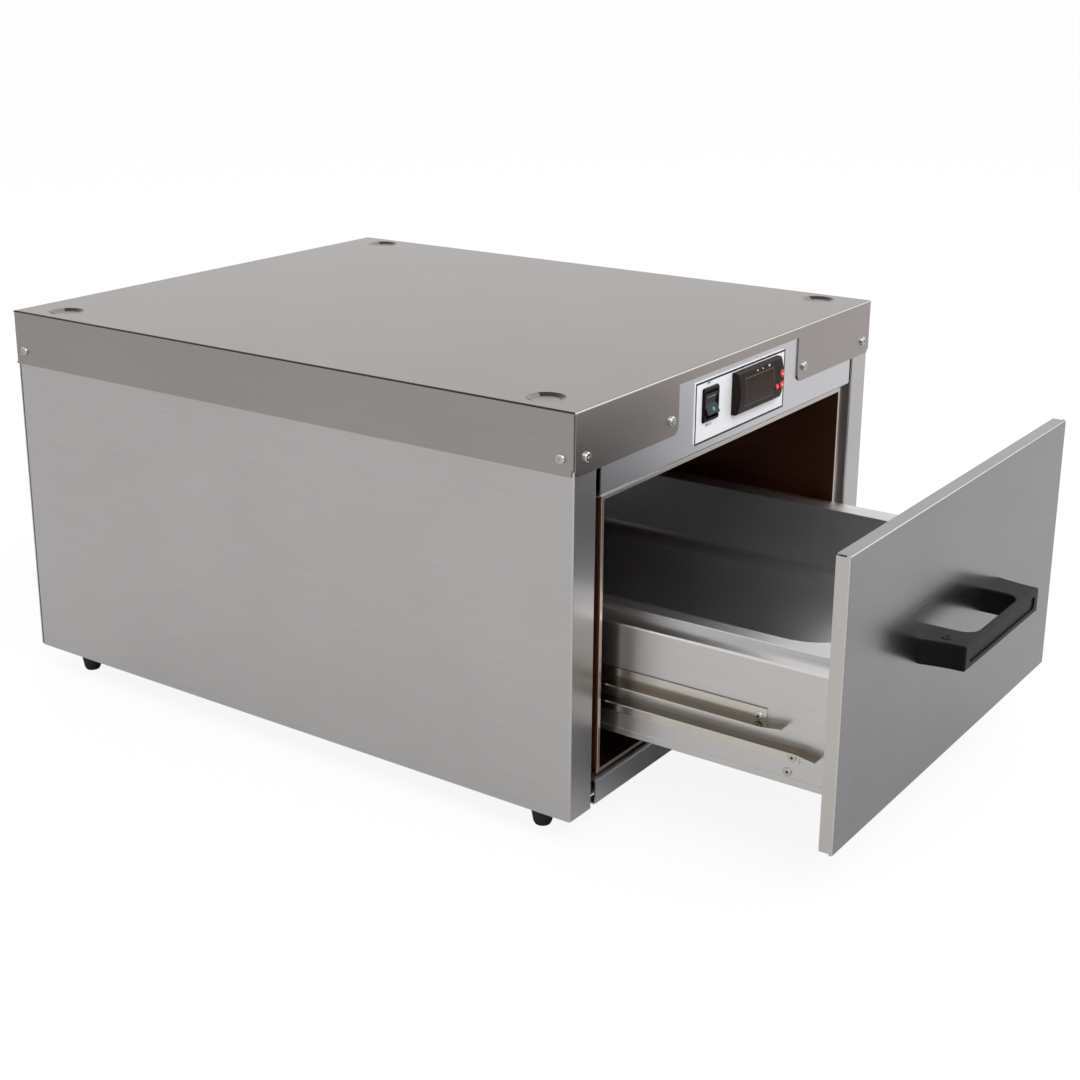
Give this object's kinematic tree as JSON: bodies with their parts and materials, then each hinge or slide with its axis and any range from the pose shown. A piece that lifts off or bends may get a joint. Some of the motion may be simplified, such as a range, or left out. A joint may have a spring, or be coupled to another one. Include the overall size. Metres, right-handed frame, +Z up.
{
  "type": "countertop warming drawer",
  "caption": "Free-standing food warming drawer: an insulated steel cabinet with a heated drawer on rollers, a lift-out pan and a front control panel.",
  "frame": {"origin": "middle of the cabinet's footprint on the counter, at the bottom of the feet", "axes": "+Z up; the front faces -Y and the drawer opens towards -Y; +X is to the right seen from the front"},
  "size_m": [0.4944, 0.8345, 0.3425],
  "materials": {
    "outer_steel": "brushed stainless sheet",
    "drawer_steel": "brushed stainless sheet",
    "pan_steel": "satin deep-drawn stainless",
    "plated_steel": "zinc-coated sheet",
    "screw_steel": "bright plated",
    "element_sheath": "oxidised sheath",
    "blanket": "glass-fibre blanket",
    "foot_rubber": "moulded black",
    "black_plastic": "moulded black",
    "rocker_plastic": "polished black",
    "button_plastic": "red moulded",
    "window_plastic": "dark smoked",
    "roller_nylon": "natural nylon",
    "plate_metal": "pale printed plate"
  },
  "bodies": {
    "root": {"side_panel_left": "outer_steel", "side_panel_right": "outer_steel", "base_panel": "plated_steel", "rear_panel": "plated_steel", "top_cover": "outer_steel", "cover_screws": "screw_steel", "rear_panel_screws": "screw_steel", "foot_front_left": "foot_rubber", "foot_front_right": "foot_rubber", "foot_rear_left": "foot_rubber", "foot_rear_right": "foot_rubber", "foot_screws": "screw_steel", "header_panel": "outer_steel", "sill": "outer_steel", "compartment_liner": "plated_steel", "insulation_left": "blanket", "insulation_right": "blanket", "insulation_top": "blanket", "insulation_floor": "blanket", "insulation_back": "blanket", "heating_element": "element_sheath", "element_clips": "plated_steel", "temperature_probe": "element_sheath", "cord_gland": "black_plastic", "terminal_block": "black_plastic", "control_plate": "plate_metal", "switch_frame": "black_plastic", "controller_housing": "black_plastic", "display_window": "window_plastic", "slide_channel_left": "plated_steel", "slide_channel_right": "plated_steel", "front_roller_studs": "screw_steel"},
    "drawer": {"drawer_front": "drawer_steel", "drawer_front_backing": "drawer_steel", "drawer_front_insulation": "blanket", "handle": "black_plastic", "handle_screws": "screw_steel", "drawer_side_left": "drawer_steel", "drawer_side_right": "drawer_steel", "drawer_front_rail": "drawer_steel", "drawer_rear_rail": "drawer_steel", "front_bracket_left": "drawer_steel", "front_bracket_right": "drawer_steel", "upper_rail_left": "plated_steel", "upper_rail_right": "plated_steel", "lower_rail_left": "plated_steel", "lower_rail_right": "plated_steel", "slide_rivets": "screw_steel", "rear_roller_axles": "screw_steel", "food_pan": "pan_steel"},
    "front_roller_left": {"front_roller_left": "roller_nylon"},
    "front_roller_right": {"front_roller_right": "roller_nylon"},
    "rear_roller_left": {"rear_roller_left": "roller_nylon"},
    "rear_roller_right": {"rear_roller_right": "roller_nylon"},
    "rocker": {"switch_rocker": "rocker_plastic"},
    "up_button": {"up_button": "button_plastic"},
    "down_button": {"down_button": "button_plastic"},
    "set_button": {"set_button": "button_plastic"}
  },
  "joints": [
    {"name": "drawer_slide", "type": "slide", "parent": "root", "child": "drawer", "axis": [0, -1, 0], "range_m": [-0.192, 0.22]},
    {"name": "front_roller_left_spin", "type": "hinge", "parent": "root", "child": "front_roller_left", "pos_m": [-0.1892, -0.2363, 0.1108], "axis": [1, 0, 0], "range_deg": [-1873, 2141]},
    {"name": "rear_roller_left_spin", "type": "hinge", "parent": "drawer", "child": "rear_roller_left", "pos_m": [-0.1898, 0.0397, 0.1475], "axis": [1, 0, 0], "range_deg": [-1441, 1262]},
    {"name": "front_roller_right_spin", "type": "hinge", "parent": "root", "child": "front_roller_right", "pos_m": [0.1892, -0.2363, 0.1108], "axis": [1, 0, 0], "range_deg": [-1873, 2141]},
    {"name": "rear_roller_right_spin", "type": "hinge", "parent": "drawer", "child": "rear_roller_right", "pos_m": [0.1898, 0.0397, 0.1475], "axis": [1, 0, 0], "range_deg": [-1441, 1262]},
    {"name": "power_rocker", "type": "hinge", "parent": "root", "child": "rocker", "pos_m": [-0.0525, -0.297, 0.3085], "axis": [1, 0, 0], "range_deg": [0, 16]},
    {"name": "up_button_press", "type": "slide", "parent": "root", "child": "up_button", "axis": [0, 1, 0], "range_m": [0, 0.0008], "stiffness_N_per_m": 400, "springref_m": -0.0006},
    {"name": "down_button_press", "type": "slide", "parent": "root", "child": "down_button", "axis": [0, 1, 0], "range_m": [0, 0.0008], "stiffness_N_per_m": 400, "springref_m": -0.0006},
    {"name": "set_button_press", "type": "slide", "parent": "root", "child": "set_button", "axis": [0, 1, 0], "range_m": [0, 0.0008], "stiffness_N_per_m": 400, "springref_m": -0.0006}
  ],
  "couplings": [
    {"joint": "front_roller_left_spin", "follows": "drawer_slide", "rad_per_m": 166.67},
    {"joint": "rear_roller_left_spin", "follows": "drawer_slide", "rad_per_m": -111.11},
    {"joint": "front_roller_right_spin", "follows": "drawer_slide", "rad_per_m": 166.67},
    {"joint": "rear_roller_right_spin", "follows": "drawer_slide", "rad_per_m": -111.11}
  ]
}
